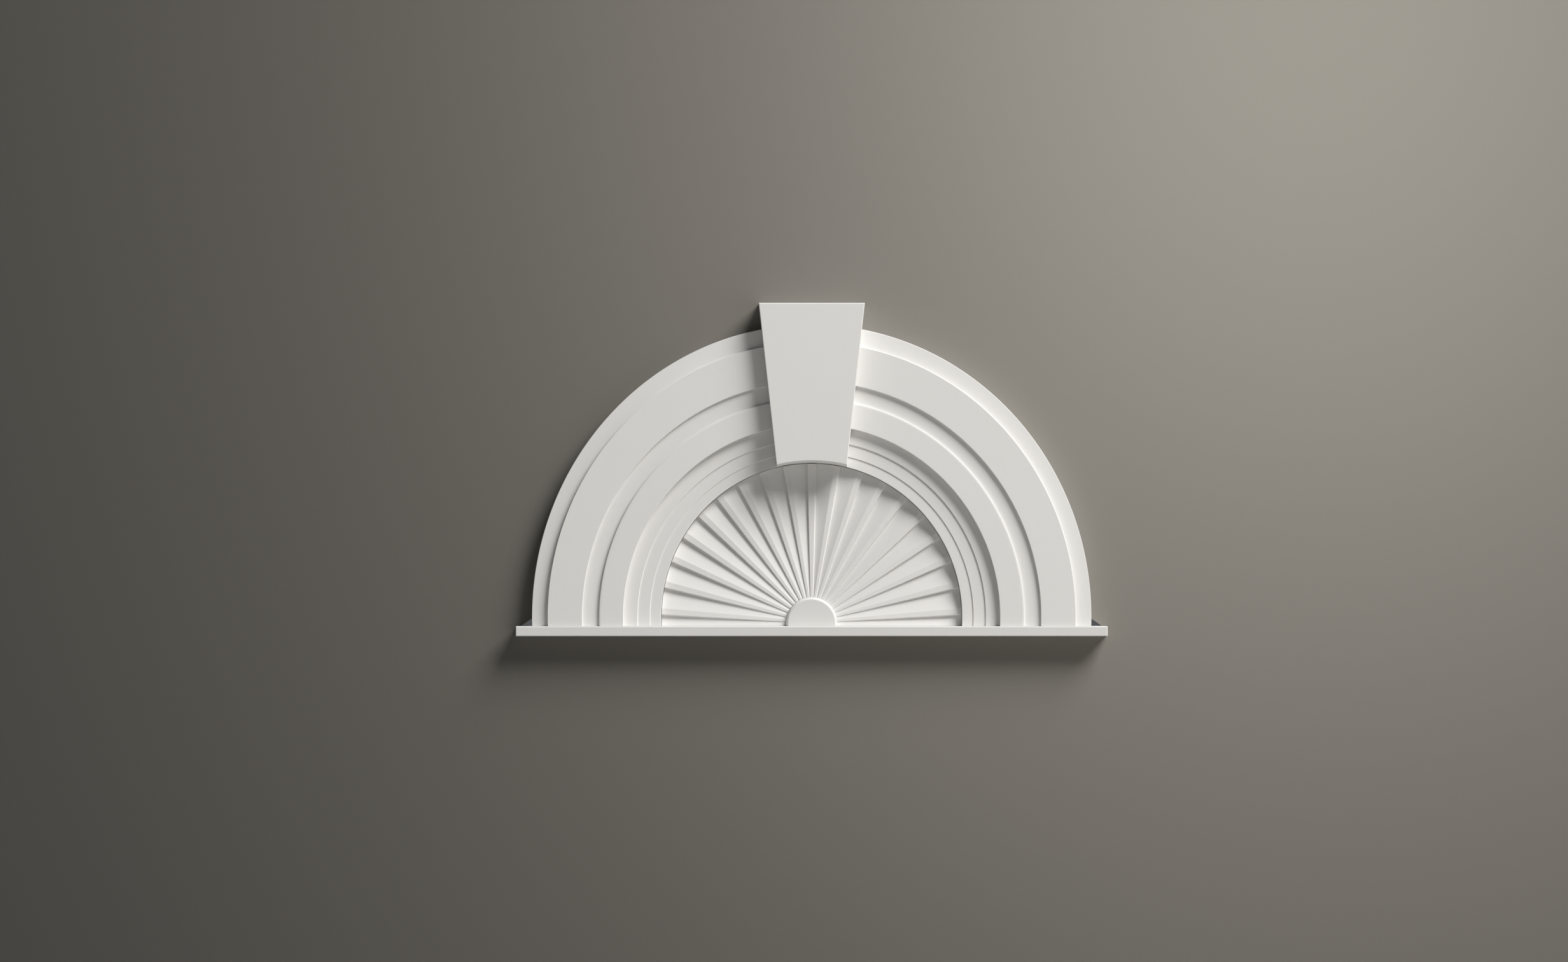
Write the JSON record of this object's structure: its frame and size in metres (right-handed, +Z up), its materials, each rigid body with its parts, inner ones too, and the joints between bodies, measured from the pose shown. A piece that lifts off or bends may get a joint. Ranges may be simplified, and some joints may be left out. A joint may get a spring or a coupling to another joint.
{
  "type": "exterior pediment",
  "caption": "Half-round sunburst pediment with a keystone and a bottom ledge, fixed to the wall above a door or window.",
  "frame": {"origin": "middle of the ledge's back face, on the wall plane, half the ledge's height above its underside", "axes": "+X along the ledge to the viewer's right, +Y into the wall, +Z up; the carved front faces -Y"},
  "size_m": [1.219, 0.079, 0.686],
  "materials": {
    "moulded_white": "matte factory-primed off-white on moulded high-density polyurethane"
  },
  "bodies": {
    "root": {"arch_left": "moulded_white", "arch_right": "moulded_white", "keystone": "moulded_white", "sunburst_panel": "moulded_white", "sunburst_hub": "moulded_white", "base_ledge": "moulded_white"}
  },
  "joints": []
}
